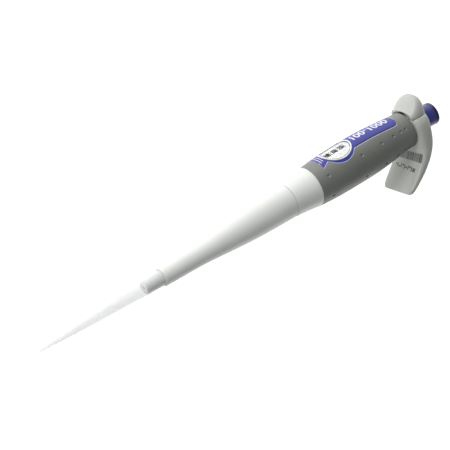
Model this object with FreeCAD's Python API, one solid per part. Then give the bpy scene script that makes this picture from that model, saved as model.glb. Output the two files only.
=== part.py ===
"""Adjustable micropipette, 100 to 1000 microlitres, with a disposable tip on its nozzle.

Every piece is drawn with the pipette upright: its axis is Z, the orifice of the tip is at the origin,
the volume display faces -Y and the finger hook reaches out to +Y. Each piece is then laid on its side,
the way the pipette rests on a bench, with the tip towards +X. All sizes are in millimetres.
"""
import FreeCAD
import Part
import math
import os

V = FreeCAD.Vector

# Heights along the axis, measured from the orifice of the tip
TIP_TOP = 80.0
NOZZLE_END = 68.5
SLEEVE_TOP = 169.5
COLLAR_TOP = 186.2
CORE_LOW = 178.0
CORE_TOP = 257.5
GRIP_TOP = 258.0
HEAD_LOW = 258.2
HEAD_TOP = 270.4
BUTTON_TOP = 281.0
CHAMBER_LOW = 124.0        # floor of the piston chamber
SEAL_SEAT = 149.0          # shoulder that the seals rest on
FLANGE_LOW = 194.5         # flange of the nozzle barrel
BARREL_TOP = 197.0
WHEELS_LOW = 200.4         # lowest digit wheel
NUT_LOW = 220.0
GUIDE_LOW = 246.4          # floor of the plunger button's guide
YOKE_LOW = 264.5
SEAT_LOW = 182.0           # spring seat, at the top of the piston
PISTON_TOP = 183.5
OVAL_Z = 209.4             # centre of the display

# Radii
CORE_BORE = 8.8            # inside of the handle core below the barrel's flange
CORE_UPPER_BORE = 8.3
CORE_R = 10.8
BARREL_R = 7.1
BARREL_BORE = 6.4
PISTON_R = 4.5
SCREW_R = 4.0
WHEEL_R = 7.8
BUTTON_R = 6.5
BUTTON_BORE = 7.0
HEAD_R = 12.9              # round front of the head
ROD_Y = 9.2                # the ejector rod runs behind the counter
ROD_R = 0.7
SKIRT_R = 11.5             # inside of the ejector button's skirt, which slides down outside the grip

# Distances from the axis
SEAM_Y = -7.85             # back of the ejector button, in front of the head
THUMB_REACH = 18.4         # front of the ejector button
HOOK_REACH = 34.0          # end of the finger hook
INLAY_DEPTH = 0.7

# The pipette on the bench
TIP_END_X = 140.5
AXIS_Y = (THUMB_REACH - HOOK_REACH) / 2
AXIS_HEIGHT = 13.2         # the grip and the side of the hook both touch the bench

# Profiles, as (height, radius)
TIP_INNER = [(TIP_TOP, 4.42), (66.0, 3.95), (20.0, 1.7), (2.5, 0.45), (0.0, 0.45)]
TIP_OUTER = [(0, 0.75), (16.5, 2.07), (33, 2.94), (50, 3.85), (67, 4.56), (TIP_TOP, 5.0)]
SLEEVE_OUTER = [(80.2, 5.5), (92, 5.8), (102, 6.08), (110, 6.5), (117, 7.1), (124, 7.75), (131, 8.4),
                (138, 8.9), (146, 9.35), (153, 9.6), (161, 9.85), (SLEEVE_TOP, 9.95)]
COLLAR_OUTER = [(169.75, 10.1), (175, 10.6), (179.5, 11.1), (183.3, 11.65), (COLLAR_TOP, 12.05)]
GRIP_OUTER = [(186.3, 12.1), (192, 12.5), (198.6, 12.9), (206, 13.12), (214, AXIS_HEIGHT),
              (226, 13.15), (236, 12.65), (244, 12.0), (251, 11.4), (256, 11.15)]


def ring(inner, outer, low, high):
    """A plain tube, or a disc where the inner radius is 0."""
    body = Part.makeCylinder(outer, high - low, V(0, 0, low))
    if inner:
        body = body.cut(Part.makeCylinder(inner, high - low, V(0, 0, low)))
    return body


def box(x0, x1, y0, y1, z0, z1):
    return Part.makeBox(x1 - x0, y1 - y0, z1 - z0, V(x0, y0, z0))


def revolve(edges):
    """A solid of revolution about Z from edges that close a loop in the XZ plane."""
    face = Part.Face(Part.Wire(Part.__sortEdges__(edges)))
    return face.revolve(V(0, 0, 0), V(0, 0, 1), 360)


def straight(points):
    """Straight edges through (height, radius) points."""
    places = [V(r, 0, z) for z, r in points]
    return [Part.LineSegment(a, b).toShape() for a, b in zip(places, places[1:])]


def curve(points):
    """One smooth edge through points in space."""
    spline = Part.BSplineCurve()
    spline.interpolate(points)
    return spline.toShape()


def turned(points):
    """A solid turned from a closed straight profile of (height, radius) points."""
    return revolve(straight(points + points[:1]))


def moulded(outer, inner, grow=0.0):
    """A solid between a smooth outer profile, low to high, and a straight inner one, high to low."""
    outer = [(z, r + grow) for z, r in outer]
    smooth = curve([V(r, 0, z) for z, r in outer])
    return revolve([smooth] + straight(outer[-1:] + inner + outer[:1]))


def hexagon(flats, low, high):
    """A hexagonal bar of the given size across its flats."""
    corner = flats / math.sqrt(3)
    turns = [math.radians(60 * i) for i in range(7)]
    outline = Part.makePolygon([V(corner * math.cos(t), corner * math.sin(t), low) for t in turns])
    return Part.Face(outline).extrude(V(0, 0, high - low))


def coil_spring(mean, wire, low, high, turns):
    """A round-wire compression spring whose wire lies between the two heights."""
    height = high - low - 2 * wire
    helix = Part.makeHelix(height / turns, height, mean)
    helix.translate(V(0, 0, low + wire))
    section = Part.Wire(Part.Circle(V(mean, 0, low + wire), V(0, 1, 0), wire).toShape())
    return Part.Wire(helix).makePipeShell([section], True, True)


def rod_slot(low, high):
    """The channel at the back of the handle that the ejector rod runs in."""
    wide = ROD_R + 0.1
    round_end = Part.makeCylinder(wide, high - low, V(0, ROD_Y, low))
    return round_end.fuse(box(-wide, wide, 6.0, ROD_Y, low, high))


# ---- Disposable tip and liquid end ----

def disposable_tip():
    return moulded(TIP_OUTER, TIP_INNER)


def nozzle_radius(height):
    """The nozzle's taper, just inside the tip's bore."""
    (top, wide), (low, narrow) = TIP_INNER[:2]
    return narrow + (wide - narrow) * (height - low) / (top - low) - 0.05


def nozzle_barrel():
    """Nozzle, air channel and piston chamber in one moulding, with the flange that the core holds."""
    seat = TIP_TOP - 1
    outside = [(NOZZLE_END, 3.5), (NOZZLE_END + 0.6, nozzle_radius(NOZZLE_END + 0.6)),
               (seat, nozzle_radius(seat)), (TIP_TOP, 4.4), (104, 4.5), (112, 4.75), (118, 5.25),
               (CHAMBER_LOW, 5.9), (130, 6.2), (141, 6.2), (147, BARREL_R), (FLANGE_LOW, BARREL_R),
               (FLANGE_LOW, CORE_BORE), (BARREL_TOP, CORE_BORE)]
    inside = [(BARREL_TOP, BARREL_BORE), (SEAL_SEAT, BARREL_BORE), (SEAL_SEAT, 4.9),
              (CHAMBER_LOW, 4.9), (CHAMBER_LOW - 3, 1.2), (NOZZLE_END, 1.2)]
    groove = ring(0, BARREL_BORE + 0.25, 171.44, 172.46)
    return turned(outside + inside).cut(groove).cut(rod_slot(FLANGE_LOW - 1, BARREL_TOP + 1))


def piston_seal():
    return ring(PISTON_R + 0.03, BARREL_BORE - 0.03, SEAL_SEAT + 0.02, 151.5)


def seal_o_ring():
    return Part.makeTorus(5.44, 0.9, V(0, 0, 152.42))


def seal_retainer():
    """Brass tube that presses the seals into their seat, with a screwdriver slot."""
    return ring(4.75, BARREL_BORE - 0.04, 153.34, 160.0).cut(box(-0.6, 0.6, -7, 7, 158.8, 160.1))


# ---- Two-stage stop: the blow-out washer and its spring ----

def blowout_spring():
    return coil_spring(5.7, 0.42, 160.1, 169.9, 5)


def blowout_washer():
    return ring(PISTON_R + 0.1, 6.3, 170.0, 171.4)


def washer_clip():
    """Snap ring in the barrel's groove that stops the washer."""
    return ring(5.8, BARREL_BORE + 0.22, 171.47, 172.4).cut(box(-1.5, 1.5, 4, 8, 171, 173))


# ---- Plunger: button, rod, piston and main spring move together ----

def piston():
    return ring(0, PISTON_R, 130.0, PISTON_TOP).cut(hexagon(3.66, 175.9, PISTON_TOP + 1))


def spring_seat():
    """Flange on the piston's head, with a hub inside the spring that meets the blow-out washer."""
    hub = ring(PISTON_R + 0.02, 4.95, 173.02, SEAT_LOW)
    return hub.fuse(ring(PISTON_R + 0.02, 6.1, SEAT_LOW, PISTON_TOP)).removeSplitter()


def main_spring():
    return coil_spring(5.35, 0.3, 171.5, 181.9, 6)


def plunger_rod():
    return hexagon(3.6, 176.0, 277.0)


def push_button():
    """Deep cup with a dished crown and a hub that is pressed on the rod."""
    skirt = ring(5.3, BUTTON_R, 256.0, 279.0)
    crown = ring(0, BUTTON_R, 277.4, 280.0)
    hub = ring(0, 3.2, 268.0, 277.6)
    body = skirt.fuse([crown, hub]).removeSplitter()
    pocket = ring(0, 4.9, 279.0, 281.0)
    return body.cut(hexagon(3.66, 260.0, 277.1)).cut(pocket)


def button_insert():
    """Domed disc in the crown of the button."""
    radius = 4.85
    rise = 0.5
    dome_r = (radius ** 2 + rise ** 2) / (2 * rise)
    dome = Part.makeSphere(dome_r, V(0, 0, BUTTON_TOP - dome_r))
    return ring(0, radius, 279.05, BUTTON_TOP + 1).common(dome)


# ---- Volume drive: screw, sleeve and digit wheels ----

def volume_screw():
    """Hollow screw turned by the rod's hexagon. Its lower end is the plunger's upper stop."""
    body = ring(0, SCREW_R, PISTON_TOP + 0.08, 232.0).fuse(ring(0, 5.5, 229.5, 232.0))
    body = body.cut(hexagon(3.7, 180.0, 233.0)).removeSplitter()
    return body.cut([box(left, left + 1.9, -0.7, 0.7, 198, 229.4) for left in (-5.0, 3.1)])


def drive_sleeve():
    """Sleeve that carries the digit wheels, turned by two keys in the screw's grooves."""
    keys = [box(left, left + 1.1, -0.6, 0.6, 214, 219) for left in (-4.4, 3.3)]
    return ring(4.2, 5.5, 198.2, NUT_LOW - 0.4).fuse(keys).removeSplitter()


def digit_wheel(place):
    """Wheel number 0 is the lowest and turns with the sleeve; its rim has ten detent notches."""
    low = WHEELS_LOW + 5.1 * place
    body = ring(5.54, WHEEL_R, low, low + 4.8)
    for step in range(10):
        notch = box(-0.4, 0.4, WHEEL_R - 0.5, WHEEL_R + 1, low - 1, low + 0.5)
        notch.rotate(V(0, 0, 0), V(0, 0, 1), 36 * step + 18)
        body = body.cut(notch)
    return body


def digit_mask():
    """White sleeve around the wheels with one window for each digit."""
    body = ring(7.95, 8.26, 198.4, 218.4)
    for place in range(3):
        low = WHEELS_LOW + 5.1 * place
        body = body.cut(box(-2.6, 2.6, -9, -5, low + 0.3, low + 4.5))
    return body


def volume_nut():
    """Fixed brass nut, with a pocket on top for the friction ring."""
    outside = CORE_UPPER_BORE - 0.04
    return turned([(NUT_LOW, SCREW_R + 0.05), (NUT_LOW, outside), (228.2, outside), (228.2, 5.25),
                   (226, 5.25), (226, SCREW_R + 0.05)])


def friction_ring():
    """Rubber ring that keeps the set volume."""
    return ring(SCREW_R + 0.05, 5.2, 226.05, 228.0)


# ---- Handle ----

def handle_core():
    """Structural tube of the handle, with the window of the counter and the slot of the rod."""
    body = turned([(CORE_LOW, CORE_BORE), (CORE_LOW, 10.2), (COLLAR_TOP + 0.1, 10.2),
                   (COLLAR_TOP + 0.1, CORE_R), (CORE_TOP, CORE_R), (CORE_TOP, CORE_UPPER_BORE),
                   (BARREL_TOP + 0.05, CORE_UPPER_BORE), (BARREL_TOP + 0.05, CORE_BORE)])
    groove = ring(0, CORE_BORE + 0.35, 193.18, 194.46)
    window = box(-6.5, 6.5, -12, -5, 199.3, 218.2)
    return body.cut([groove, window, rod_slot(CORE_LOW - 1, CORE_TOP + 1)])


def barrel_clip():
    """Snap ring in the core's groove that holds the barrel's flange."""
    return ring(BARREL_R + 0.6, CORE_BORE + 0.3, 193.2, 194.4).cut(box(-2, 2, 5, 10, 193, 195))


def lower_collar():
    """Flared collar that joins the core's spigot to the liquid end."""
    inside = [(COLLAR_TOP, 10.25), (CORE_LOW - 0.2, 10.25), (CORE_LOW - 0.2, 8.9), (169.75, 8.9)]
    return moulded(COLLAR_OUTER, inside)


def oval_prism(half_width, half_height):
    """An elliptical prism through the front wall of the handle, around the display."""
    prism = Part.makeCylinder(1.0, 14.0, V(0, -6, 0), V(0, -1, 0))
    stretch = FreeCAD.Matrix()
    stretch.scale(V(half_width, 1, half_height))
    prism = prism.transformGeometry(stretch)
    prism.translate(V(0, 0, OVAL_Z))
    return prism


def inlay_prism(grow):
    """Outline of the coloured inlay: flared foot, oval around the display, and a long strip."""
    wide, narrow, low = 7.3 + grow, 5.0 + grow, 194.5 - grow
    foot = Part.makePolygon([V(-wide, -6, low), V(wide, -6, low), V(narrow, -6, 202), V(-narrow, -6, 202),
                             V(-wide, -6, low)])
    foot = Part.Face(foot).extrude(V(0, -14, 0))
    strip = box(-7.2 - grow, 7.2 + grow, -20, -6, OVAL_Z + 3, 247.8)
    end = box(-4.2, 4.2, -20, -6, 247.8, 250.8 + grow)
    corners = [Part.makeCylinder(3.0 + grow, 14, V(x, -6, 247.8), V(0, -1, 0)) for x in (-4.2, 4.2)]
    return oval_prism(9.9 + grow, 11.0 + grow).fuse([foot, strip, end] + corners)


def grip_layer(outside, depth):
    """A layer of the grip's own surface, between an outer and an inner offset from it."""
    outer = moulded(GRIP_OUTER, [(256, 1), (186.3, 1)], outside)
    inner = moulded(GRIP_OUTER, [(256, 0.5), (186.3, 0.5)], -depth)
    return outer.cut(inner)


def dimples():
    """Rows of small dents every 60 degrees, closer and closer towards the head."""
    height, step = 193.4, 24.6
    heights = []
    while step > 2.0:
        heights.append(height)
        height += step
        step *= 0.62
    dents = []
    for row in (60, 120, 180, 240, 300):
        for level in heights:
            dent = Part.makeSphere(1.5, V(0, -grip_radius(level) - 1.0, level))
            dent.rotate(V(0, 0, 0), V(0, 0, 1), row)
            dents.append(dent)
    return dents


def grip_radius(height):
    """Radius of the grip between two points of its profile."""
    for (low, near), (high, far) in zip(GRIP_OUTER, GRIP_OUTER[1:]):
        if low <= height <= high:
            return near + (far - near) * (height - low) / (high - low)


def soft_grip():
    body = moulded(GRIP_OUTER, [(GRIP_TOP, 10.95), (GRIP_TOP, CORE_R + 0.05), (186.3, CORE_R + 0.05)])
    recess = grip_layer(2.0, INLAY_DEPTH + 0.1).common(inlay_prism(0.1))
    return body.cut([recess, oval_prism(8.4, 10.4)] + dimples())


def blue_inlay():
    plate = grip_layer(0.1, INLAY_DEPTH).common(inlay_prism(0.0))
    return plate.cut([oval_prism(8.4, 10.4), ring(0, CORE_R + 0.05, 190, GRIP_TOP)])


def display_bezel():
    """Pale oval frame that reaches through the grip to the core."""
    frame = oval_prism(8.3, 10.3).cut(oval_prism(6.5, 8.5))
    layer = moulded(GRIP_OUTER, [(256, CORE_R + 0.1), (186.3, CORE_R + 0.1)], 0.35)
    return frame.common(layer)


def display_window():
    return oval_prism(6.45, 8.45).common(grip_layer(0.15, 0.9))


def hook_curve(points):
    return curve([V(0, y, z) for y, z in points])


def finger_hook():
    """Head of the handle and finger hook in one moulding."""
    end = [(33.9, 245.0), (HOOK_REACH, 242.9), (31.9, 242.0)]
    outer = hook_curve([(0, HEAD_TOP), (7, 269.7), (14, 267.2), (22.6, 260.4), (29.8, 251.2), end[0]])
    tip_arc = Part.Arc(V(0, *end[0]), V(0, *end[1]), V(0, *end[2])).toShape()
    inner = hook_curve([end[2], (27.0, 246.6), (22.7, 250.8), (18, 254.6), (14, 257.2), (10.5, HEAD_LOW)])
    base = Part.makePolygon([V(0, 10.5, HEAD_LOW), V(0, 0, HEAD_LOW), V(0, 0, HEAD_TOP)])
    outline = Part.Wire(Part.__sortEdges__([outer, tip_arc, inner] + base.Edges))
    blade = Part.Face(outline).extrude(V(2 * AXIS_HEIGHT, 0, 0))
    blade.translate(V(-AXIS_HEIGHT, 0, 0))
    blade = blade.common(hook_plan())
    head = ring(0, HEAD_R, HEAD_LOW, HEAD_TOP).common(box(-20, 20, -7.5, 20, 250, 280))
    body = head.fuse(blade).removeSplitter()
    cavity = ring(0, 9.3, 250, 268.4)
    lug_room = box(-2.0, 2.0, 5, 10.7, 250, 268.4)
    return body.cut([cavity, lug_room, ring(0, 7.6, 250, 280), ring(0, 8.7, 270.0, 280)])


def hook_plan():
    """Plan outline of the hook: it widens behind the head, and its end is rounded."""
    w = AXIS_HEIGHT
    y = HOOK_REACH
    left = Part.Arc(V(-w, y - 9, 0), V(-w + 1.0, y - 4, 0), V(-w + 3.8, y - 1.3, 0)).toShape()
    tip = Part.Arc(V(-w + 3.8, y - 1.3, 0), V(0, y, 0), V(w - 3.8, y - 1.3, 0)).toShape()
    right = Part.Arc(V(w - 3.8, y - 1.3, 0), V(w - 1.0, y - 4, 0), V(w, y - 9, 0)).toShape()
    back = Part.makePolygon([V(w, y - 9, 0), V(w, 6, 0), V(HEAD_R, 0, 0), V(-HEAD_R, 0, 0), V(-w, 6, 0),
                             V(-w, y - 9, 0)])
    wire = Part.Wire(Part.__sortEdges__([left, tip, right] + back.Edges))
    face = Part.Face(wire)
    face.translate(V(0, 0, 235))
    return face.extrude(V(0, 0, 45))


def button_guide():
    """Tube that the plunger button runs in. Its floor stops the screw and its rim holds the head."""
    tube = turned([(GUIDE_LOW, 2.6), (GUIDE_LOW, 8.25), (250.0, 8.25), (250.0, 7.55), (270.05, 7.55),
                   (270.05, 8.6), (271.0, 8.6), (271.0, BUTTON_BORE), (248.4, BUTTON_BORE), (248.4, 2.6)])
    return tube.cut(box(-9, 9, -9, -7.5, 269, 272)).cut(ring(0, BUTTON_BORE, 249, 272))


# ---- Ejector: button, yoke, rod, tube and sleeve move together ----

def thumb_section(height, front, half):
    """A squared-off half oval in front of the seam plane, closed by a straight back."""
    points = []
    for step in range(-6, 7):
        angle = math.radians(15 * step)
        across = math.copysign(abs(math.sin(angle)) ** 0.8, step) * half
        points.append(V(across, SEAM_Y - (front + SEAM_Y) * math.cos(angle) ** 0.8, height))
    points[0].y = points[-1].y = SEAM_Y
    back = Part.LineSegment(points[-1], points[0]).toShape()
    return Part.Wire(Part.__sortEdges__([curve(points), back]))


def ejector_button():
    """Helmet-shaped thumb rest with a skirt that slides down outside the grip."""
    sections = [(258.8, 12.1, 9.2), (262.0, 15.0, 9.9), (265.0, 17.5, 10.1), (267.6, THUMB_REACH, 9.5),
                (269.6, 17.7, 8.1), (271.0, 15.9, 6.1), (271.9, 13.2, 3.8)]
    outer = Part.makeLoft([thumb_section(*section) for section in sections], True)
    hollow = Part.makeLoft([thumb_section(258.8, 11.3, 8.4), thumb_section(261.5, 13.3, 8.9),
                            thumb_section(YOKE_LOW - 0.6, 15.2, 9.3)], True)
    tab_slot = box(-4.4, 4.4, -13.05, -7, YOKE_LOW - 0.05, YOKE_LOW + 2.55)
    return outer.cut([hollow, ring(0, SKIRT_R, 258, YOKE_LOW - 0.1), tab_slot])


def ejector_yoke():
    """Ring around the plunger that joins the button in front to the rod at the back."""
    band = ring(7.75, 8.9, YOKE_LOW, YOKE_LOW + 2.5)
    lug = box(-1.6, 1.6, 8.3, 10.3, YOKE_LOW, YOKE_LOW + 2.5)
    tab = box(-4.0, 4.0, -13.0, -8.0, YOKE_LOW, YOKE_LOW + 2.5).cut(ring(0, 7.75, 260, 270))
    rod_hole = Part.makeCylinder(ROD_R + 0.02, 2, V(0, ROD_Y, YOKE_LOW - 0.5))
    return band.fuse([lug, tab]).removeSplitter().cut(rod_hole)


def ejector_rod():
    rod = Part.makeCylinder(ROD_R, 265.9 - 188.0, V(0, ROD_Y, 188.0))
    return rod.cut(ring(0, 8.63, 187, 193)).cut(ring(0, 8.55, 180, 266))


def ejector_tube():
    """Inner tube that carries the sleeve and slides on the barrel."""
    return ring(BARREL_R + 0.25, 8.6, 158.2, 192.0)


def ejector_sleeve():
    inside = [(SLEEVE_TOP, 8.62), (158.0, 8.62), (158.0, 8.3), (150.0, 8.15), (138.0, 7.75),
              (124.0, 6.6), (110.0, 5.35), (104.0, 4.95), (80.2, 4.65)]
    return moulded(SLEEVE_OUTER, inside)


def ejector_spring():
    return coil_spring(7.93, 0.3, 250.1, YOKE_LOW - 0.1, 7)


PIECES = [disposable_tip, nozzle_barrel, piston_seal, seal_o_ring, seal_retainer, blowout_spring,
          blowout_washer, washer_clip, piston, spring_seat, main_spring, plunger_rod, push_button,
          button_insert, volume_screw, drive_sleeve, digit_mask, volume_nut, friction_ring,
          handle_core, barrel_clip, lower_collar, soft_grip, blue_inlay, display_bezel,
          display_window, finger_hook, button_guide, ejector_button, ejector_yoke, ejector_rod,
          ejector_tube, ejector_sleeve, ejector_spring]
WHEELS = {"tens_wheel": 0, "hundreds_wheel": 1, "thousands_wheel": 2}


def export(name, shape):
    """Lay the piece on its side, the tip towards +X, and write it."""
    shape.rotate(V(0, 0, 0), V(0, 1, 0), -90)
    shape.translate(V(TIP_END_X, AXIS_Y, AXIS_HEIGHT))
    shape.exportStep("parts/%s.step" % name)


os.makedirs("parts", exist_ok=True)
for piece in PIECES:
    export(piece.__name__, piece())
for name, place in WHEELS.items():
    export(name, digit_wheel(place))
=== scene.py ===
import math

import bmesh
import bpy
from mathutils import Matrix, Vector


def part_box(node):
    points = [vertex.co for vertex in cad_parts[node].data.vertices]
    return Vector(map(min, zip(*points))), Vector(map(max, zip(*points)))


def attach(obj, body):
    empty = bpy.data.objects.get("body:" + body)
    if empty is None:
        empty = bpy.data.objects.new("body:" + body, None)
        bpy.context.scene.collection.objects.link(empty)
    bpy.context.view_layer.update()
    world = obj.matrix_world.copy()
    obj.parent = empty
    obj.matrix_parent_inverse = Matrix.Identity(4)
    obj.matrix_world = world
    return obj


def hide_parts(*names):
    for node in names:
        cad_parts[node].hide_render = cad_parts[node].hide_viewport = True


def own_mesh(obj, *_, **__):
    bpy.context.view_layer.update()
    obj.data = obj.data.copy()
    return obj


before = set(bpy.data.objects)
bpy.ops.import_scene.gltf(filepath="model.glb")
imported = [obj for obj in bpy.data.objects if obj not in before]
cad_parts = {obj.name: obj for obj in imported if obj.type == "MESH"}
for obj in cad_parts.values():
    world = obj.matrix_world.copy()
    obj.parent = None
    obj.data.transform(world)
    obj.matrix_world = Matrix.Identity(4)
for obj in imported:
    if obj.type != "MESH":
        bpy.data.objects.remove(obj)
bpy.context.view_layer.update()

# ---- Places, in millimetres from the orifice of the tip, along the axis and out from it ----

MM = 0.001
TIP_LOW, TIP_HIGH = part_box("disposable_tip")
AXIS_Y = (TIP_LOW.y + TIP_HIGH.y) / 2
AXIS_Z = (TIP_LOW.z + TIP_HIGH.z) / 2
TIP_X = TIP_HIGH.x

GRIP_LOW, GRIP_TOP = 186.3, 258.0        # ends of the soft grip
SEAM_Y = -7.85             # back of the ejector button
OVAL_Z = 208.3             # centre of the display
WHEELS_LOW = 200.4         # lower face of the first digit wheel
WHEEL_PITCH = 5.1
FIGURE_R = 7.8             # radius at which the figures lie on their wheels


def place(height, side, up):
    """A point from its height along the axis, its distance towards the hook, and upwards."""
    return Vector((TIP_X - height * MM, AXIS_Y + side * MM, AXIS_Z + up * MM))


def around(height, radius, turn):
    """A point on a circle about the axis; turn is in degrees from the display, upwards first."""
    angle = math.radians(turn)
    return place(height, -radius * math.cos(angle), radius * math.sin(angle))


def smooth(points, per_span=6):
    """Catmull-Rom points through (height, value, ...) tuples."""
    ends = [points[0]] + list(points) + [points[-1]]
    out = []
    for a, b, c, d in zip(ends, ends[1:], ends[2:], ends[3:]):
        for step in range(per_span):
            t = step / per_span
            out.append(tuple(0.5 * (2 * q + (r - p) * t + (2 * p - 5 * q + 4 * r - s) * t * t
                                    + (3 * q - p - 3 * r + s) * t ** 3) for p, q, r, s in zip(a, b, c, d)))
    return out + [tuple(points[-1])]


def value_at(curve, height):
    """Linear reading of a (height, value) curve."""
    for (low, near), (high, far) in zip(curve, curve[1:]):
        if low <= height <= high:
            return near + (far - near) * (height - low) / max(high - low, 1e-9)
    return curve[0][1] if height < curve[0][0] else curve[-1][1]


def rounded(points, radius, steps=4):
    """A closed outline with each corner sharper than 25 degrees rounded off."""
    out = []
    count = len(points)
    for index, corner in enumerate(points):
        here = Vector(corner)
        back = Vector(points[index - 1]) - here
        ahead = Vector(points[(index + 1) % count]) - here
        if back.length < 1e-9 or ahead.length < 1e-9:
            continue
        if math.degrees(back.angle(ahead)) > 155:
            out.append(tuple(here))
            continue
        cut = min(radius, back.length * 0.45, ahead.length * 0.45)
        start = here + back.normalized() * cut
        end = here + ahead.normalized() * cut
        for step in range(steps + 1):
            t = step / steps
            out.append(tuple(start * (1 - t) ** 2 + here * 2 * t * (1 - t) + end * t * t))
    return out


# ---- Mesh builders ----

def mesh_object(name, points, faces, material, smooth_angle=35):
    """An object in the scene from points and faces, with its normals outwards and one material."""
    mesh = bpy.data.meshes.new(name)
    mesh.from_pydata([tuple(p) for p in points], [], faces)
    piece = bpy.data.objects.new(name, mesh)
    bpy.context.scene.collection.objects.link(piece)
    build = bmesh.new()
    build.from_mesh(mesh)
    bmesh.ops.remove_doubles(build, verts=build.verts, dist=1e-7)
    bmesh.ops.recalc_face_normals(build, faces=build.faces)
    build.to_mesh(mesh)
    build.free()
    mesh.materials.append(material)
    shade(piece, smooth_angle)
    return piece


def shade(piece, smooth_angle):
    """Smooth shading, with the edges sharper than the angle kept sharp."""
    mesh = piece.data
    for face in mesh.polygons:
        face.use_smooth = True
    build = bmesh.new()
    build.from_mesh(mesh)
    limit = math.radians(smooth_angle)
    for edge in build.edges:
        edge.smooth = len(edge.link_faces) != 2 or edge.calc_face_angle(0) < limit
    build.to_mesh(mesh)
    build.free()


def grid_faces(rows, cols, closed_rows=False, closed_cols=False):
    """Four-sided faces of a grid of points, wrapped round where it is closed."""
    last_row = rows if closed_rows else rows - 1
    last_col = cols if closed_cols else cols - 1
    return [((i * cols + j), (i * cols + (j + 1) % cols), ((i + 1) % rows * cols + (j + 1) % cols),
             ((i + 1) % rows * cols + j)) for i in range(last_row) for j in range(last_col)]


def slab_faces(rows, cols):
    """Faces of a closed slab from a top grid and a bottom grid of points."""
    count = rows * cols
    faces = grid_faces(rows, cols)
    faces += [tuple(count + k for k in reversed(face)) for face in grid_faces(rows, cols)]
    rim = list(range(cols)) + [i * cols + cols - 1 for i in range(1, rows)]
    rim += [count - 1 - j for j in range(1, cols)] + [i * cols for i in range(rows - 2, 0, -1)]
    return faces + [(a, b, count + b, count + a) for a, b in zip(rim, rim[1:] + rim[:1])]


def lathe(name, outline, material, segments=112):
    """A closed ring turned from a closed outline of (height, radius) points."""
    points = [around(h, r, 360 * k / segments) for h, r in outline for k in range(segments)]
    return mesh_object(name, points, grid_faces(len(outline), segments, True, True), material)


def dome_lathe(name, profile, material, segments=96):
    """A solid turned from a profile whose first and last points are on the axis."""
    inner = profile[1:-1]
    points = [around(h, r, 360 * k / segments) for h, r in inner for k in range(segments)]
    faces = grid_faces(len(inner), segments, False, True)
    first = len(points)
    points += [around(profile[0][0], 0, 0), around(profile[-1][0], 0, 0)]
    tail = (len(inner) - 1) * segments
    for k in range(segments):
        faces.append((first, (k + 1) % segments, k))
        faces.append((first + 1, tail + k, tail + (k + 1) % segments))
    return mesh_object(name, points, faces, material)


def loft(name, sections, material, smooth_angle=35):
    """A closed solid through closed sections of equal point counts, capped at both ends."""
    count = len(sections[0])
    points = [p for section in sections for p in section]
    faces = grid_faces(len(sections), count, False, True)
    faces.append(tuple(range(count)))
    faces.append(tuple(reversed(range(len(points) - count, len(points)))))
    return mesh_object(name, points, faces, material, smooth_angle)


def cut(piece, cutters, smooth_angle=35):
    """Cut closed meshes out of a piece and apply the result."""
    for cutter in cutters:
        step = piece.modifiers.new("cut", "BOOLEAN")
        step.operation = "DIFFERENCE"
        step.solver = "EXACT"
        step.object = cutter
    bpy.context.view_layer.update()
    result = bpy.data.meshes.new_from_object(piece.evaluated_get(bpy.context.evaluated_depsgraph_get()))
    piece.modifiers.clear()
    piece.data = result
    for cutter in cutters:
        bpy.data.objects.remove(cutter)
    shade(piece, smooth_angle)


def cylinder_cutter(radius, low, high, segments=96):
    """A closed cylinder on the axis, to be cut out of a piece."""
    points = [around(h, radius, 360 * k / segments) for h in (low, high) for k in range(segments)]
    faces = grid_faces(2, segments, False, True)
    faces += [tuple(range(segments)), tuple(reversed(range(segments, 2 * segments)))]
    return mesh_object("cutter", points, faces, MATERIALS["white"])


# ---- Materials ----

def nodes_of(name):
    """A new material with its node tree and its shader."""
    material = bpy.data.materials.new(name)
    material.use_nodes = True
    tree = material.node_tree
    return material, tree, tree.nodes["Principled BSDF"]


def noise(tree, scale, detail=3.0):
    """Noise in the piece's own coordinates."""
    coords = tree.nodes.new("ShaderNodeTexCoord")
    texture = tree.nodes.new("ShaderNodeTexNoise")
    texture.inputs["Scale"].default_value = scale
    texture.inputs["Detail"].default_value = detail
    tree.links.new(coords.outputs["Object"], texture.inputs["Vector"])
    return texture


def mottle(tree, shader, light, dark, scale):
    """Slow colour drift between two close tones."""
    texture = noise(tree, scale)
    ramp = tree.nodes.new("ShaderNodeValToRGB")
    ramp.color_ramp.elements[0].position = 0.35
    ramp.color_ramp.elements[0].color = (*dark, 1)
    ramp.color_ramp.elements[1].position = 0.65
    ramp.color_ramp.elements[1].color = (*light, 1)
    tree.links.new(texture.outputs["Fac"], ramp.inputs["Fac"])
    tree.links.new(ramp.outputs["Color"], shader.inputs["Base Color"])


def grain(tree, shader, scale, distance):
    """Fine surface relief of a moulded or ground surface."""
    texture = noise(tree, scale, 2.0)
    bump = tree.nodes.new("ShaderNodeBump")
    bump.inputs["Distance"].default_value = distance
    tree.links.new(texture.outputs["Fac"], bump.inputs["Height"])
    tree.links.new(bump.outputs["Normal"], shader.inputs["Normal"])


def uneven_gloss(tree, shader, low, high, scale):
    """Roughness that drifts between two values."""
    texture = noise(tree, scale)
    span = tree.nodes.new("ShaderNodeMapRange")
    span.inputs["To Min"].default_value = low
    span.inputs["To Max"].default_value = high
    tree.links.new(texture.outputs["Fac"], span.inputs["Value"])
    tree.links.new(span.outputs["Result"], shader.inputs["Roughness"])


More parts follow.
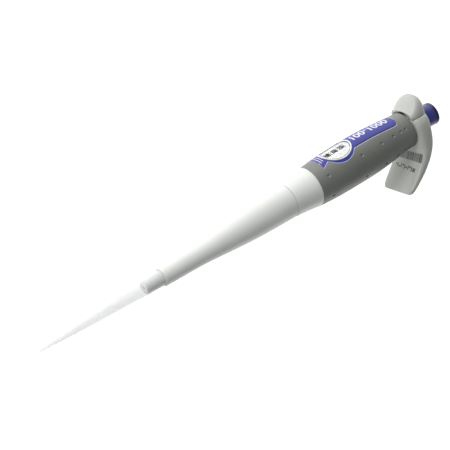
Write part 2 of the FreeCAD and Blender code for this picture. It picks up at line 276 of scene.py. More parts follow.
def plastic(name, light, dark, gloss, relief=0.00001, relief_scale=2600, coat=0.0, soft=0.0):
    """Moulded plastic; gloss is its roughness, soft the share of light that enters it."""
    material, tree, shader = nodes_of(name)
    mottle(tree, shader, light, dark, 60)
    uneven_gloss(tree, shader, gloss - 0.04, gloss + 0.05, 160)
    grain(tree, shader, relief_scale, relief)
    shader.inputs["Coat Weight"].default_value = coat
    shader.inputs["Coat Roughness"].default_value = 0.06
    shader.inputs["Subsurface Weight"].default_value = soft
    shader.inputs["Subsurface Radius"].default_value = (0.002, 0.002, 0.0018)
    return material


def rubber():
    """Soft elastomer: matt, finely textured and slightly uneven."""
    material, tree, shader = nodes_of("grip_rubber")
    mottle(tree, shader, (0.172, 0.178, 0.165), (0.148, 0.154, 0.142), 45)
    uneven_gloss(tree, shader, 0.42, 0.55, 220)
    grain(tree, shader, 3400, 0.00003)
    shader.inputs["Specular IOR Level"].default_value = 1.0
    return material


def clear(name, tint, roughness, transmission, alpha):
    """Clear or cloudy plastic."""
    material, tree, shader = nodes_of(name)
    mottle(tree, shader, tint, tuple(c * 0.97 for c in tint), 90)
    shader.inputs["Roughness"].default_value = roughness
    shader.inputs["Transmission Weight"].default_value = transmission
    shader.inputs["IOR"].default_value = 1.49
    shader.inputs["Alpha"].default_value = alpha
    return material


def metal(name, light, dark, roughness):
    """Turned or drawn metal with fine rings around the axis."""
    material, tree, shader = nodes_of(name)
    mottle(tree, shader, light, dark, 300)
    uneven_gloss(tree, shader, roughness - 0.05, roughness + 0.08, 900)
    shader.inputs["Metallic"].default_value = 1.0
    coords = tree.nodes.new("ShaderNodeTexCoord")
    rings = tree.nodes.new("ShaderNodeTexWave")
    rings.inputs["Scale"].default_value = 900
    rings.inputs["Distortion"].default_value = 0.6
    bump = tree.nodes.new("ShaderNodeBump")
    bump.inputs["Distance"].default_value = 0.000008
    tree.links.new(coords.outputs["Object"], rings.inputs["Vector"])
    tree.links.new(rings.outputs["Fac"], bump.inputs["Height"])
    tree.links.new(bump.outputs["Normal"], shader.inputs["Normal"])
    return material


MATERIALS = {
    "ivory": plastic("ivory_shell", (0.73, 0.745, 0.72), (0.705, 0.72, 0.695), 0.36, soft=0.06),
    "grey": plastic("pale_grey_shell", (0.47, 0.482, 0.452), (0.445, 0.457, 0.428), 0.38, soft=0.03),
    "white": plastic("white_parts", (0.86, 0.87, 0.87), (0.82, 0.83, 0.83), 0.4),
    "blue": plastic("blue_inlay_plastic", (0.036, 0.041, 0.29), (0.031, 0.035, 0.26), 0.38, coat=0.06),
    "button": plastic("blue_button_plastic", (0.035, 0.038, 0.24), (0.028, 0.031, 0.20), 0.24, coat=0.5),
    # navy: painted shade for the plunger button's rim
    "navy": plastic("painted_rim_shade", (0.010, 0.010, 0.05), (0.008, 0.008, 0.04), 0.25, coat=0.6),
    "shadow": plastic("shadow_line", (0.004, 0.004, 0.02), (0.003, 0.003, 0.016), 0.6),
    "edging": plastic("pale_edging", (0.62, 0.64, 0.74), (0.58, 0.60, 0.70), 0.4),
    "print": plastic("pale_print", (0.74, 0.75, 0.92), (0.70, 0.71, 0.88), 0.5, 0.000003),
    "ink": plastic("grey_ink", (0.12, 0.125, 0.12), (0.09, 0.095, 0.09), 0.6, 0.000003),
    # black: the drive sleeve's own colour, and the painted shadow line around the display window
    "black": plastic("black_parts_and_painted_shadow", (0.012, 0.012, 0.013), (0.008, 0.008, 0.009), 0.45),
    "rubber": rubber(),
    "seal": plastic("seal_rubber", (0.02, 0.02, 0.02), (0.012, 0.012, 0.012), 0.6, 0.00002, 3000),
    "tip": clear("tip_polypropylene", (0.75, 0.76, 0.765), 0.3, 0.15, 0.27),
    "lens": clear("clear_window", (0.98, 0.99, 0.99), 0.04, 1.0, 0.12),
    "brass": metal("turned_brass", (0.72, 0.52, 0.22), (0.62, 0.43, 0.17), 0.28),
    "steel": metal("turned_steel", (0.60, 0.61, 0.62), (0.50, 0.51, 0.52), 0.3),
    "spring": metal("spring_wire", (0.45, 0.46, 0.48), (0.36, 0.37, 0.39), 0.34),
}


# ---- Liquid end: tip, sleeve and collar ----

def tip_shell():
    """Long thin-walled cone, open at both ends."""
    outer = smooth([(0, 0.75), (16.5, 2.07), (33, 2.94), (50, 3.85), (67, 4.56), (80, 5.0)])
    inner = [(80, 4.42), (66, 3.95), (43, 2.825), (20, 1.7), (2.5, 0.45), (0, 0.45)]
    piece = lathe("tip_shell", rounded(outer + inner, 0.25), MATERIALS["tip"])
    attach(piece, "tip")
    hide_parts("disposable_tip")


def sleeve_shell():
    """S-curved ejector sleeve with a raised ring at its end and a fine groove above it."""
    outer = smooth([(84.2, 5.62), (92, 5.8), (102, 6.08), (110, 6.5), (117, 7.1), (124, 7.75),
                    (131, 8.4), (138, 8.9), (146, 9.35), (153, 9.6), (161, 9.85), (169.5, 9.95)])
    end = [(80.2, 5.5), (82.9, 5.58), (83.1, 5.45), (83.9, 5.45)]
    inner = [(169.5, 8.62), (158, 8.62), (158, 8.3), (150, 8.15), (138, 7.75), (124, 6.6),
             (110, 5.35), (104, 4.95), (80.2, 4.65)]
    piece = lathe("sleeve_shell", rounded(end + outer + inner, 0.22), MATERIALS["ivory"])
    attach(piece, "ejector")
    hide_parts("ejector_sleeve")


def collar_shell():
    """Flared collar between the sleeve and the grip."""
    outer = smooth([(169.75, 10.1), (175, 10.6), (179.5, 11.1), (183.3, 11.65), (186.2, 12.05)])
    inner = [(186.2, 10.25), (177.8, 10.25), (177.8, 8.9), (169.75, 8.9)]
    piece = lathe("collar_shell", rounded(outer + inner, 0.25), MATERIALS["ivory"])
    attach(piece, "handle")
    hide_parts("lower_collar")


# ---- Grip ----

GRIP = smooth([(186.3, 12.1), (192, 12.5), (198.6, 12.9), (206, 13.1), (214, 13.18), (226, 13.13),
               (236, 12.63), (244, 11.98), (251, 11.38), (256, 11.13), (258, 10.95)], 8)
HOOK_SCOOP = 0.55          # how far the grip draws in under the hook
SCOOP_LOW, SCOOP_LENGTH = 240, 12


def grip_radius(height, turn):
    """Radius of the grip's surface, drawn in a little under the finger hook."""
    radius = value_at(GRIP, height)
    rise = max(0.0, min(1.0, (height - SCOOP_LOW) / SCOOP_LENGTH))
    toward_hook = max(0.0, -math.cos(math.radians(turn)))
    return max(radius - HOOK_SCOOP * rise * rise * toward_hook, GRIP_THINNEST)


def dimple_heights():
    """Heights of one row of dents, closer together towards the head."""
    height, step = 193.4, 24.6
    while step > 2.0:
        yield height
        height += step
        step *= 0.62


DIMPLES = [(height, turn) for turn in (60, 120, 180, 240, 300) for height in dimple_heights()]
DIMPLE_R, DIMPLE_DEPTH = 0.85, 0.75
GRIP_BORE = 10.9
GRIP_THINNEST = 10.95      # least radius of the grip's outside
INLAY_LOW, INLAY_TOP = 193.6, 250.8
OVAL_HALF, OVAL_TALL = 11.8, 11.1        # half the inlay's oval, across and along
STRIP_HALF, STRIP_END = 7.7, 4.2         # half the strip's width, length of its rounded end
STRIP_SQUARENESS = 3.2     # exponent of the strip's rounded end
FOOT_HALF, FOOT_NARROWS, FOOT_LENGTH = 8.3, 3.3, 6.5
RECESS_EDGE, RECESS_DEPTH = 0.35, 0.55   # the grip's recess under the inlay
WINDOW_HALF, WINDOW_TALL = 9.7, 10.4     # outside of the display's ring, across and along
DIGIT_HALF, DIGIT_TALL = 2.3, 3.9        # the windows over the digits: half width, height
DIGIT_MARGIN = 0.45        # from a wheel's lower face to its window
LENS_INSET, PLATE_INSET = 1.15, 1.0      # from the outside of the display's ring
DISPLAY_R = 13.15          # radius of the grip at the display


def inlay_half(height):
    """Half the inlay's width along the surface, in millimetres, or 0 outside it."""
    if height < INLAY_LOW or height > INLAY_TOP:
        return 0.0
    foot = FOOT_HALF - FOOT_NARROWS * min(1, (height - INLAY_LOW) / FOOT_LENGTH)
    from_centre = (height - OVAL_Z) / OVAL_TALL
    oval = OVAL_HALF * math.sqrt(1 - from_centre ** 2) if abs(from_centre) < 1 else 0
    strip = STRIP_HALF if height > OVAL_Z else 0
    end = (height - INLAY_TOP + STRIP_END) / STRIP_END
    if end > 0:
        strip = STRIP_HALF * (1 - end ** STRIP_SQUARENESS) ** (1 / STRIP_SQUARENESS)
    return max(foot if height < OVAL_Z else 0, oval, strip)


def under_inlay(height, turn):
    """How far a point of the grip lies inside the inlay's outline, in millimetres."""
    offset = abs((turn + 180) % 360 - 180)
    along = math.radians(offset) * value_at(GRIP, height)
    return min(inlay_half(height) - along, height - INLAY_LOW, INLAY_TOP - height)


def grip_skin():
    """Soft shell with dimples, rounded off at each end, and a recess under the inlay."""
    rows = [GRIP_LOW, GRIP_LOW + 0.12, GRIP_LOW + 0.4]
    step = 0.32
    while rows[-1] < GRIP_TOP - 0.9:
        rows.append(rows[-1] + step)
    rows += [GRIP_TOP - 0.45, GRIP_TOP - 0.2, GRIP_TOP - 0.05, GRIP_TOP]
    cols = 288
    points = []
    for height in rows:
        from_end = min(height - GRIP_LOW, GRIP_TOP - height)
        edge = 0.45 if height > 222 else 0.3
        lip = edge - math.sqrt(max(0, edge ** 2 - max(0, edge - from_end) ** 2))
        for col in range(cols):
            turn = 360 * col / cols
            radius = grip_radius(height, turn) - lip
            depth = under_inlay(height, turn)
            if depth > RECESS_EDGE:
                radius -= min(RECESS_DEPTH, (depth - RECESS_EDGE) * 1.2)
            for level, row_turn in DIMPLES:
                if abs(level - height) < DIMPLE_R * 1.25:
                    across = math.radians((turn - row_turn + 180) % 360 - 180) * radius
                    far = math.hypot(level - height, across) / DIMPLE_R
                    if far < 1:
                        radius -= DIMPLE_DEPTH * (1 - far * far) ** 0.8
            points.append(around(height, radius, turn))
    inner = [around(height, GRIP_BORE, 360 * col / cols)
             for height in (GRIP_TOP, GRIP_LOW) for col in range(cols)]
    faces = grid_faces(len(rows) + 2, cols, True, True)
    piece = mesh_object("grip_skin", points + inner, faces, MATERIALS["rubber"], 50)
    cut(piece, [oval_cutter(WINDOW_HALF - 0.2, WINDOW_TALL - 0.2)], 50)
    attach(piece, "handle")
    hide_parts("soft_grip")


def on_grip(height, along, proud):
    """A point over the grip's display side: along is the distance across, on the surface."""
    radius = value_at(GRIP, height)
    return around(height, radius + proud, math.degrees(along / radius))


def frange(low, high, count):
    """Evenly spaced values, both ends included."""
    return [low + (high - low) * k / (count - 1) for k in range(count)]


def eased(low, high, count):
    """Heights that crowd towards both ends."""
    return [low + (high - low) * (1 - math.cos(math.pi * k / (count - 1))) / 2 for k in range(count)]


def inlay_plate():
    """Curved plate with a rolled edge, its middle cut out around the display."""
    heights = eased(INLAY_LOW, INLAY_TOP, 150)
    cols = 41
    top, bottom = [], []
    for height in heights:
        half = max(inlay_half(min(max(height, INLAY_LOW + 0.01), INLAY_TOP - 0.01)), 0.05)
        for col in range(cols):
            share = math.sin(math.pi / 2 * (2 * col / (cols - 1) - 1))
            inside = min(half * (1 - abs(share)), height - INLAY_LOW, INLAY_TOP - height)
            proud = 0.12 - 0.3 * max(0, 1 - inside / 0.3) ** 2
            top.append(on_grip(height, half * share, proud))
            bottom.append(on_grip(height, half * share, -0.42))
    faces = slab_faces(len(heights), cols)
    piece = mesh_object("inlay_plate", top + bottom, faces, MATERIALS["blue"], 40)
    cut(piece, [oval_cutter(WINDOW_HALF - 0.35, WINDOW_TALL - 0.35)], 40)
    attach(piece, "handle")
    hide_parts("blue_inlay")


def oval_cutter(half, tall):
    """An oval cone about the axis' display side, from inside the handle to outside it."""
    segments = 72
    sections = []
    for radius in (8.5, 16.0):
        section = []
        for k in range(segments):
            angle = 2 * math.pi * k / segments
            turn = math.degrees(half * math.cos(angle) / DISPLAY_R)
            section.append(around(OVAL_Z + tall * math.sin(angle), radius, turn))
        sections.append(section)
    return loft("cutter", sections, MATERIALS["white"])


def band_on_grip(name, outer, inner, proud, material, roll=0.12):
    """A closed flat band along the grip's curve between two closed outlines of (height, along) points."""
    count = len(outer)
    middle = [((a[0] + b[0]) / 2, (a[1] + b[1]) / 2) for a, b in zip(outer, inner)]
    points = [on_grip(*p, proud - roll) for p in outer] + [on_grip(*p, proud) for p in middle]
    points += [on_grip(*p, proud - roll) for p in inner]
    foot = min(proud - 0.1, -0.3)
    points += [on_grip(*p, foot) for p in inner] + [on_grip(*p, foot) for p in outer]
    return mesh_object(name, points, grid_faces(5, count, True, True), material, 60)


def inlay_outline(inset, count=150):
    """The inlay's outline, moved inwards by the inset, as (height, along) points."""
    heights = eased(INLAY_LOW + inset, INLAY_TOP - inset, count)
    right = [(h, max(inlay_half(h) - inset, 0.02)) for h in heights]
    return right + [(h, -w) for h, w in reversed(right)]


def inlay_edging():
    """Pale line around the inlay."""
    piece = band_on_grip("inlay_edging", inlay_outline(-0.3), inlay_outline(0.05), 0.1,
                         MATERIALS["edging"], 0.06)
    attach(piece, "handle")


def oval_line(half, tall, count=96):
    """An oval about the display's centre, as (height, along) points."""
    turns = [2 * math.pi * k / count for k in range(count)]
    return [(OVAL_Z + tall * math.sin(t), half * math.cos(t)) for t in turns]


def display_ring():
    """Raised pale ring that reaches from the inlay's face down to the core."""
    profile = [(0.0, -2.0), (0.0, 0.14), (0.2, 0.28), (0.6, 0.28), (0.85, 0.1), (1.0, -2.0)]
    points = []
    count = 96
    for inset, proud in profile:
        grow = 0.95 * inset
        for height, along in oval_line(WINDOW_HALF - grow, WINDOW_TALL - grow, count):
            points.append(on_grip(height, along, proud))
    faces = grid_faces(len(profile), count, True, True)
    piece = mesh_object("display_ring", points, faces, MATERIALS["white"])
    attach(piece, "handle")
    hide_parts("display_bezel")


def window_gasket():
    """Painted shadow: a thin dark line between the ring and the lens, where the gap between them is in
    shade.
    """
    outer = oval_line(WINDOW_HALF - 0.88, WINDOW_TALL - 0.88)
    inner = oval_line(WINDOW_HALF - 1.12, WINDOW_TALL - 1.12)
    # painted shadow, in the black material, between the display ring and the lens
    piece = band_on_grip("window_gasket", outer, inner, 0.02, MATERIALS["black"], 0.03)
    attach(piece, "handle")


def oval_plate(name, half, tall, top, dome, bottom, material):
    """A closed oval plate that follows the grip's curve; top and bottom are its levels."""
    rings, count = 14, 72
    points, faces = [], []
    for layer in (0, 1):
        first = len(points)
        for k in range(1, rings + 1):
            share = k / rings
            for height, along in oval_line(half * share, tall * share, count):
                proud = bottom if layer else top - dome * share ** 4
                points.append(on_grip(height, along, proud))
        points.append(on_grip(OVAL_Z, 0, bottom if layer else top))
        faces += [tuple(first + v for v in face) for face in grid_faces(rings, count, False, True)]
        faces += [(len(points) - 1, first + (k + 1) % count, first + k) for k in range(count)]
    edge = (rings - 1) * count
    under = rings * count + 1 + edge
    faces += [(edge + k, edge + (k + 1) % count, under + (k + 1) % count, under + k) for k in range(count)]
    return mesh_object(name, points, faces, material)


def window_lens():
    """Clear lens, domed a little, inside the ring."""
    piece = oval_plate("window_lens", WINDOW_HALF - LENS_INSET, WINDOW_TALL - LENS_INSET,
                       0.05, 0.25, -0.7, MATERIALS["lens"])
    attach(piece, "handle")
    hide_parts("display_window")


def frame_line(low, high, half):
    """A closed rectangle of (height, along) points with enough points to follow the curve."""
    steps = 6
    across = [-half + 2 * half * k / steps for k in range(steps + 1)]
    return [(low, a) for a in across] + [(high, a) for a in reversed(across)]


def display_plate():
    """White surround under the lens, with a framed window over each digit wheel."""
    plate = oval_plate("display_plate", WINDOW_HALF - PLATE_INSET, WINDOW_TALL - PLATE_INSET,
                       -1.1, 0.0, -1.5, MATERIALS["white"])
    cutters = []
    for row in range(3):
        low = WHEELS_LOW + WHEEL_PITCH * row + DIGIT_MARGIN
        high = low + DIGIT_TALL
        sections = []
        for radius in (10.0, 13.5):
            sides = [(low, -DIGIT_HALF), (low, DIGIT_HALF), (high, DIGIT_HALF), (high, -DIGIT_HALF)]
            sections.append([around(h, radius, math.degrees(a / 12.0)) for h, a in sides])
        cutters.append(loft("cutter", sections, MATERIALS["white"]))
        outer = frame_line(low - 0.3, high + 0.3, DIGIT_HALF + 0.55)
        inner = frame_line(low - 0.05, high + 0.05, DIGIT_HALF + 0.3)
        line = band_on_grip("digit_frame_%d" % row, outer, inner, -1.06, MATERIALS["ink"], 0.02)
        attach(line, "handle")
    cut(plate, cutters)
    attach(plate, "handle")


# ---- Printing: figures and stripes, and painted shadow lines ----

def figure_mesh(text, tall, bold):
    """Flat outlines of a number, as a triangulated mesh centred on the origin, tall in millimetres."""
    font = bpy.data.curves.new("figure", "FONT")
    font.body = text
    font.align_x, font.align_y = "CENTER", "CENTER"
    font.size = tall / 0.72
    font.offset = bold
    font.resolution_u = 3
    holder = bpy.data.objects.new("figure", font)
    bpy.context.scene.collection.objects.link(holder)
    bpy.context.view_layer.update()
    mesh = bpy.data.meshes.new_from_object(holder.evaluated_get(bpy.context.evaluated_depsgraph_get()))
    bpy.data.objects.remove(holder)
    return mesh


def wrapped_figures(name, text, tall, bold, spot, material):
    """Numbers laid on a curved surface; spot turns a flat (x, y) and a layer into a place."""
    build = bmesh.new()
    build.from_mesh(figure_mesh(text, tall, bold))
    for axis in range(2):
        lows = [v.co[axis] for v in build.verts]
        level = min(lows) + 0.4
        while level < max(lows):
            normal = Vector((1, 0, 0)) if axis == 0 else Vector((0, 1, 0))
            bmesh.ops.bisect_plane(build, geom=build.verts[:] + build.edges[:] + build.faces[:],
                                   plane_co=normal * level, plane_no=normal)
            level += 0.4
    solid = bmesh.ops.extrude_face_region(build, geom=build.faces[:])
    lifted = {v for v in solid["geom"] if isinstance(v, bmesh.types.BMVert)}
    for vert in build.verts:
        vert.co = spot(vert.co.x, vert.co.y, vert in lifted)
    bmesh.ops.recalc_face_normals(build, faces=build.faces)
    mesh = bpy.data.meshes.new(name)
    build.to_mesh(mesh)
    build.free()
    mesh.materials.append(material)
    piece = bpy.data.objects.new(name, mesh)
    bpy.context.scene.collection.objects.link(piece)
    return piece


def strip_figures():
    """The volume range in plain numbers along the strip, which stands for the printed mark there."""
    def spot(x, y, lifted):
        return on_grip(233.5 + x, y, 0.16 if lifted else 0.05)
    piece = wrapped_figures("strip_figures", "100-1000", 5.2, 0.14, spot, MATERIALS["print"])
    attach(piece, "handle")


def strip_on_grip(name, low, high, left, right, proud, material):
    """A thin rectangle on the grip's display side: printed stripes, and painted shadow lines."""
    rows = frange(low, high, max(2, int((high - low) / 0.5) + 2))
    cols = frange(left, right, max(2, int((right - left) / 0.5) + 2))
    top = [on_grip(h, a, proud) for h in rows for a in cols]
    bottom = [on_grip(h, a, 0.02) for h in rows for a in cols]
    return mesh_object(name, top + bottom, slab_faces(len(rows), len(cols)), material)


def foot_stripes():
    """Two pale stripes across the inlay's foot."""
    for number, (low, high, half) in enumerate([(194.7, 195.1, 4.8), (196.3, 196.7, 4.2)]):
        piece = strip_on_grip("foot_stripe_%d" % number, low, high, -half, half, 0.15, MATERIALS["print"])
        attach(piece, "handle")


def strip_shadow_lines():
    """Painted shadow: a dark line along each long edge of the inlay's strip, where the recess is in shade.
    """
    for side, name in ((-1, "strip_shadow_upper"), (1, "strip_shadow_lower")):
        left, right = sorted((side * 6.95, side * 7.55))
        # painted shadow along the strip's edge
        piece = strip_on_grip(name, OVAL_Z + 9.6, INLAY_TOP - 4.0, left, right, 0.15, MATERIALS["shadow"])
        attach(piece, "handle")


def wheel_figures():
    """Ten figures round each digit wheel. At rest the three wheels read 0, 1 and 0."""
    wheels = [("volume_drive", 0, 0), ("hundreds", 1, 1), ("thousands", 2, 0)]
    for body, row, shown in wheels:
        for digit in range(10):
            turn = -36 * (digit - shown)
            middle = WHEELS_LOW + WHEEL_PITCH * row + 2.4

            def spot(x, y, lifted):
                radius = FIGURE_R + (0.03 if lifted else -0.1)
                return around(middle - y, radius, turn + math.degrees(x / FIGURE_R))

            name = "figure_%d_%d" % (row, digit)
            piece = wrapped_figures(name, str(digit), 3.5, 0.1, spot, MATERIALS["ink"])
            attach(piece, body)


# ---- Head and finger hook ----

HOOK_STATIONS = [           # outer side, outer height, inner side, inner height, half width
    (-7.4, 269.3, -7.4, 258.9, 9.9), (-6.6, 270.1, -6.6, 258.4, 10.9), (-4.0, 270.35, -4.0, 258.25, 12.2),
    (0.0, 270.35, 0.0, 258.25, 12.8), (6.0, 269.75, 7.0, 258.25, 13.05), (10.8, 268.5, 10.9, 258.2, 13.1),
    (15.3, 266.3, 14.0, 257.3, 13.1), (20.0, 262.8, 17.4, 255.2, 13.1), (24.2, 258.5, 20.8, 252.5, 13.1),
    (27.9, 253.7, 24.2, 249.4, 13.05), (30.9, 249.4, 27.7, 246.0, 12.8), (32.9, 246.4, 30.4, 243.4, 12.2),
    (33.6, 244.9, 31.9, 242.35, 11.0)]
HOOK = smooth(HOOK_STATIONS, 5)
HOOK_HALF = 13.1           # half the hook's width where it is widest
HOOK_SIDES, HOOK_CROWN = 4.6, 3.0        # exponents of its section, across and through


def hook_point(station, angle):
    """A point on the hook's section: a rounded block, crowned on its outer side."""
    out_y, out_h, in_y, in_h, half = station
    power = 2 / HOOK_SIDES
    across = half * math.copysign(abs(math.cos(angle)) ** power, math.cos(angle))
    depth = math.copysign(abs(math.sin(angle)) ** (2 / HOOK_CROWN), math.sin(angle))
    share = (1 + depth) / 2
    return place(in_h + (out_h - in_h) * share, in_y + (out_y - in_y) * share, across)


def hook_shell():
    """Head and finger hook in one moulding, bored for the button guide and the ejector yoke."""
    count = 72
    turns = [2 * math.pi * k / count for k in range(count)]
    sections = [[hook_point(station, t) for t in turns] for station in HOOK]
    last = HOOK[-1]
    middle = ((last[0] + last[2]) / 2, (last[1] + last[3]) / 2)
    for shrink, push in ((0.86, 0.2), (0.6, 0.36), (0.25, 0.42)):
        out_y = middle[0] + (last[0] - middle[0]) * shrink + push * 0.55
        in_y = middle[0] + (last[2] - middle[0]) * shrink + push * 0.55
        out_h = middle[1] + (last[1] - middle[1]) * shrink - push * 0.75
        in_h = middle[1] + (last[3] - middle[1]) * shrink - push * 0.75
        station = (out_y, out_h, in_y, in_h, last[4] - (1 - shrink) * 2.2)
        sections.append([hook_point(station, t) for t in turns])
    piece = loft("hook_shell", sections, MATERIALS["grey"], 40)
    cut(piece, [cylinder_cutter(9.3, 250, 268.4), cylinder_cutter(7.6, 250, 280)], 40)
    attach(piece, "handle")
    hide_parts("finger_hook")


def on_hook(share, across, proud):
    """A point on the hook's inner face: share runs from the root, 0, to the end, 1."""
    inner = [(s[2], s[3]) for s in HOOK if s[2] > 10.5]
    spot = share * (len(inner) - 1)
    index = min(int(spot), len(inner) - 2)
    t = spot - index
    side = inner[index][0] * (1 - t) + inner[index + 1][0] * t
    height = inner[index][1] * (1 - t) + inner[index + 1][1] * t
    run = Vector((inner[index + 1][0] - inner[index][0], inner[index + 1][1] - inner[index][1]))
    run.normalize()
    flat = max(0.0, 1 - abs(across / HOOK_HALF) ** HOOK_SIDES) ** (1 / HOOK_CROWN)
    lift = proud - 2.5 * (1 - flat)
    return place(height - run.x * lift, side + run.y * lift, across)


def hook_bar(name, low, high, left, right, material):
    """A thin printed bar on the hook's inner face."""
    rows = frange(low, high, 6)
    cols = frange(left, right, max(3, int((right - left) / 0.5) + 2))
    top = [on_hook(r, c, 0.03) for r in rows for c in cols]
    bottom = [on_hook(r, c, -0.05) for r in rows for c in cols]
    piece = mesh_object(name, top + bottom, slab_faces(len(rows), len(cols)), material)
    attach(piece, "handle")


def hook_print():
    """A plain run of bars over a row of blocks, which stand for the printed marks."""
    bar_widths = (1, 2, 1, 1, 3, 1, 2, 1, 1, 2, 3, 1, 1, 2, 1, 3, 1, 2, 1, 1, 2, 1, 3, 2)
    unit = 0.28
    left = -7.6
    for number, width in enumerate(bar_widths):
        hook_bar("code_bar_%02d" % number, 0.11, 0.29, left, left + width * unit, MATERIALS["ink"])
        left += (width + 1.3) * unit
    left = -7.6
    for number, (length, low, high) in enumerate([(1.0, 0.41, 0.44), (0.5, 0.39, 0.47), (1.3, 0.44, 0.47),
                                                  (0.6, 0.39, 0.47), (1.2, 0.40, 0.43), (0.6, 0.40, 0.48),
                                                  (1.5, 0.43, 0.46), (0.7, 0.40, 0.48), (1.1, 0.40, 0.44),
                                                  (0.8, 0.41, 0.49), (2.0, 0.42, 0.49)]):
        hook_bar("block_%02d" % number, low, high, left, left + length, MATERIALS["ink"])
        left += length + 0.55


# ---- Ejector button ----

def thumb_section(height, front, half, count=72):
    """A squared-off half oval in front of the seam, closed by a flat back with rounded corners."""
    points = []
    for k in range(count):
        t = math.pi * k / (count - 1)
        x = half * math.copysign(abs(math.cos(t)) ** 0.8, math.cos(t))
        y = SEAM_Y - (front + SEAM_Y) * abs(math.sin(t)) ** 0.8
        points.append(place(height, y, x))
    back = 12
    for k in range(1, back):
        points.append(place(height, SEAM_Y, -half + 2 * half * k / back))
    return points


def thumb_button():
    """Helmet-shaped thumb rest: it swells out from the grip's end and closes in a soft dome."""
    stations = smooth([(258.8, 11.95, 9.0), (260.2, 12.9, 9.4), (262.0, 14.8, 9.8), (264.0, 16.7, 10.0),
                       (266.0, 17.8, 9.8), (267.6, 18.2, 9.3), (269.0, 17.9, 8.5), (270.2, 17.0, 7.3),
                       (271.0, 15.8, 5.9), (271.5, 14.3, 4.2), (271.8, 12.6, 2.6), (271.9, 11.0, 1.4)], 5)
    sections = [thumb_section(*station) for station in stations]
    piece = loft("thumb_button", sections, MATERIALS["grey"], 45)
    cut(piece, [cylinder_cutter(11.5, 250, 264.4)], 40)
    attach(piece, "ejector")
    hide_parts("ejector_button")


# ---- Plunger button ----

RIB_DEPTH, RIB_STEPS = 0.09, 6           # segments of the cap in each rib
RIBS_LOW, RIBS_TOP = 272.5, 279


def plunger_cap():
    """Deep cup with fine grip ribs, a rolled rim and a dished crown."""
    segments = 240
    profile = [(256, 5.4), (256, 6.35), (256.2, 6.48), (272.0, 6.48), (274.0, 6.5), (277.2, 6.6),
               (278.4, 6.7), (279.2, 6.78), (279.8, 6.7), (280.15, 6.4), (280.2, 5.7), (280.0, 5.05),
               (279.2, 4.95), (279.1, 4.0)]
    points = []
    for h, r in profile:
        for k in range(segments):
            wave = 0.5 - 0.5 * math.cos(2 * math.pi * k / RIB_STEPS)
            rib = RIB_DEPTH * wave if RIBS_LOW < h < RIBS_TOP else 0.0
            points.append(around(h, r - rib, 360 * k / segments))
    faces = grid_faces(len(profile), segments, False, True)
    count = len(points)
    inside = [(278.2, 4.0), (278.2, 5.3), (268, 5.3), (256.05, 5.3)]
    points += [around(h, r, 360 * k / segments) for h, r in inside for k in range(segments)]
    faces += [tuple(v + count for v in face) for face in grid_faces(len(inside), segments, False, True)]
    outer_last, inner_last = (len(profile) - 1) * segments, count + (len(inside) - 1) * segments
    for k in range(segments):
        n = (k + 1) % segments
        faces.append((outer_last + k, outer_last + n, count + n, count + k))
        faces.append((k, n, inner_last + n, inner_last + k))
    piece = mesh_object("plunger_cap", points, faces, MATERIALS["button"], 40)
    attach(piece, "plunger")
    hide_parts("push_button")


def plunger_crown():
    """Plug in the end of the plunger button, domed a little."""
    rise = [(279.15, 0), (279.15, 4.7), (279.9, 4.88), (280.5, 4.85), (280.62, 4.6)]
    dome = [(280.62 + 0.38 * (1 - (r / 4.6) ** 2), r) for r in (4.0, 3.0, 2.0, 1.0)]
    piece = dome_lathe("plunger_crown", rise + dome + [(281.0, 0)], MATERIALS["button"])
    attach(piece, "plunger")
    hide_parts("button_insert")


def rim_band():
    """Painted shade: a dark navy line around the button's rim, standing in for the shade on its far edge.
    """
    outline = [(278.3, 6.72), (279.3, 6.86), (280.0, 6.74), (280.32, 6.4), (280.34, 5.6),
               (280.0, 5.5), (279.0, 6.3), (278.3, 6.3)]
    piece = lathe("rim_band", outline, MATERIALS["navy"])
    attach(piece, "plunger")


# ---- CAD pieces that keep their shape ----

FINISHES = {
    "grey": ["handle_core"],
    # nozzle_barrel is in the white finish, paler than the ivory shell: painted light that lifts the shade
    # it lies in inside the tip
    "white": ["nozzle_barrel", "button_guide", "ejector_yoke", "ejector_tube", "piston_seal",
              "piston", "tens_wheel", "hundreds_wheel", "thousands_wheel", "digit_mask"],
    "black": ["drive_sleeve"],
    "seal": ["seal_o_ring", "friction_ring"],
    "brass": ["seal_retainer", "volume_nut"],
    "steel": ["plunger_rod", "spring_seat", "blowout_washer", "volume_screw", "ejector_rod"],
    "spring": ["main_spring", "blowout_spring", "ejector_spring", "washer_clip", "barrel_clip"],
}


def finish_cad_pieces():
    """One finish for every CAD piece that no shell replaces."""
    for finish, names in FINISHES.items():
        for name in names:
            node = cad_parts[name]
            node.data.materials.clear()
            node.data.materials.append(MATERIALS[finish])


SPRINGS = {                 # joint, height of the pressed end at rest, length, shortening at the limit
    "ejector_spring": ("ejector_press", 264.4, 14.3, 6.0),
    "blowout_spring": ("plunger_press", 169.9, 9.8, 3.5),
    "main_spring": ("plunger_press", 181.9, 10.4, 1.57),
}


def squash_springs():
    """Gives each spring its own copy of its mesh."""
    for name, (joint, end, length, stroke) in SPRINGS.items():
        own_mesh(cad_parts[name], joint, (1, 0, 0), place(end, 0, 0), 1 - stroke / length)


# ---- Stage ----

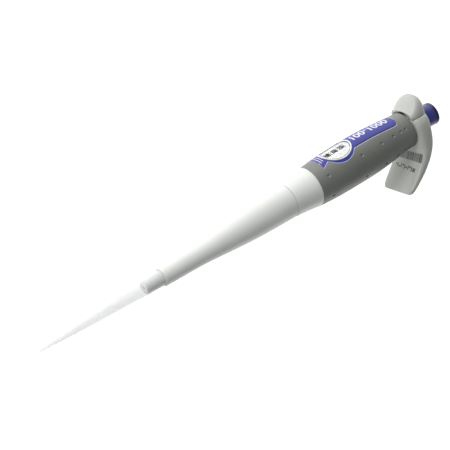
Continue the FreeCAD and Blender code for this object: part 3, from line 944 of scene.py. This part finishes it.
def studio():
    """Pale floor, three lights from the sides, a dim top, and the camera."""
    floor_material, tree, shader = nodes_of("floor_white")
    shader.inputs["Base Color"].default_value = (0.93, 0.93, 0.93, 1)
    shader.inputs["Roughness"].default_value = 0.8
    shader.inputs["Emission Color"].default_value = (1, 1, 1, 1)
    shader.inputs["Emission Strength"].default_value = 0.9
    size = 3.0
    corners = [(-size, -size, 0), (size, -size, 0), (size, size, 0), (-size, size, 0)]
    mesh = bpy.data.meshes.new("floor")
    mesh.from_pydata(corners, [], [(0, 1, 2, 3)])
    mesh.materials.append(floor_material)
    floor = bpy.data.objects.new("floor", mesh)
    bpy.context.scene.collection.objects.link(floor)

    world = bpy.data.worlds.new("studio")
    bpy.context.scene.world = world
    world.use_nodes = True
    sky = world.node_tree
    coords = sky.nodes.new("ShaderNodeTexCoord")
    split = sky.nodes.new("ShaderNodeSeparateXYZ")
    ramp = sky.nodes.new("ShaderNodeValToRGB")
    ramp.color_ramp.elements[0].position = 0.0
    ramp.color_ramp.elements[0].color = (1.0, 1.0, 1.0, 1)
    ramp.color_ramp.elements[1].position = 0.6
    ramp.color_ramp.elements[1].color = (0.27, 0.28, 0.27, 1)
    sky.links.new(coords.outputs["Generated"], split.inputs["Vector"])
    sky.links.new(split.outputs["Z"], ramp.inputs["Fac"])
    sky.links.new(ramp.outputs["Color"], sky.nodes["Background"].inputs["Color"])
    sky.nodes["Background"].inputs["Strength"].default_value = 0.75

    lamp("front_light", (0.28, -0.70, 0.30), (0.7, 0.3), 3.4)
    lamp("low_light", (0.12, -0.85, 0.05), (0.9, 0.08), 1.0)
    lamp("back_light", (-0.05, 0.8, 0.10), (0.9, 0.2), 0.8)

    eye_direction = Vector((0.4415, -0.4486, 0.7771))
    right = Vector((-0.7679, 0.2590, 0.5858))
    up = Vector((-0.4641, -0.8552, -0.2302))
    target = place(129.07, 0, 0) - 0.0065 * Vector((0, 0.866, 0.5))
    distance = 1.089
    camera_data = bpy.data.cameras.new("camera")
    camera_data.lens = 160
    camera_data.sensor_width = 36
    camera_data.clip_end = 20
    camera = bpy.data.objects.new("camera", camera_data)
    bpy.context.scene.collection.objects.link(camera)
    camera.location = target + eye_direction * distance
    turn = camera.matrix_world.to_3x3()
    for row in range(3):
        turn[row] = (right[row], up[row], eye_direction[row])
    camera.rotation_euler = turn.to_euler()
    bpy.context.scene.camera = camera
    bpy.context.scene.view_settings.view_transform = "Standard"


def lamp(name, spot, size, power):
    """A soft rectangular light turned towards the pipette."""
    data = bpy.data.lights.new(name, "AREA")
    data.shape = "RECTANGLE"
    data.size, data.size_y = size
    data.energy = power
    light = bpy.data.objects.new(name, data)
    bpy.context.scene.collection.objects.link(light)
    light.location = spot
    light.rotation_euler = (Vector((0, 0, 0.02)) - Vector(spot)).to_track_quat("-Z", "Y").to_euler()


studio()
finish_cad_pieces()
squash_springs()
tip_shell()
sleeve_shell()
collar_shell()
grip_skin()
inlay_plate()
inlay_edging()
display_ring()
window_gasket()
window_lens()
display_plate()
strip_figures()
foot_stripes()
strip_shadow_lines()
wheel_figures()
hook_shell()
hook_print()
thumb_button()
plunger_cap()
plunger_crown()
rim_band()
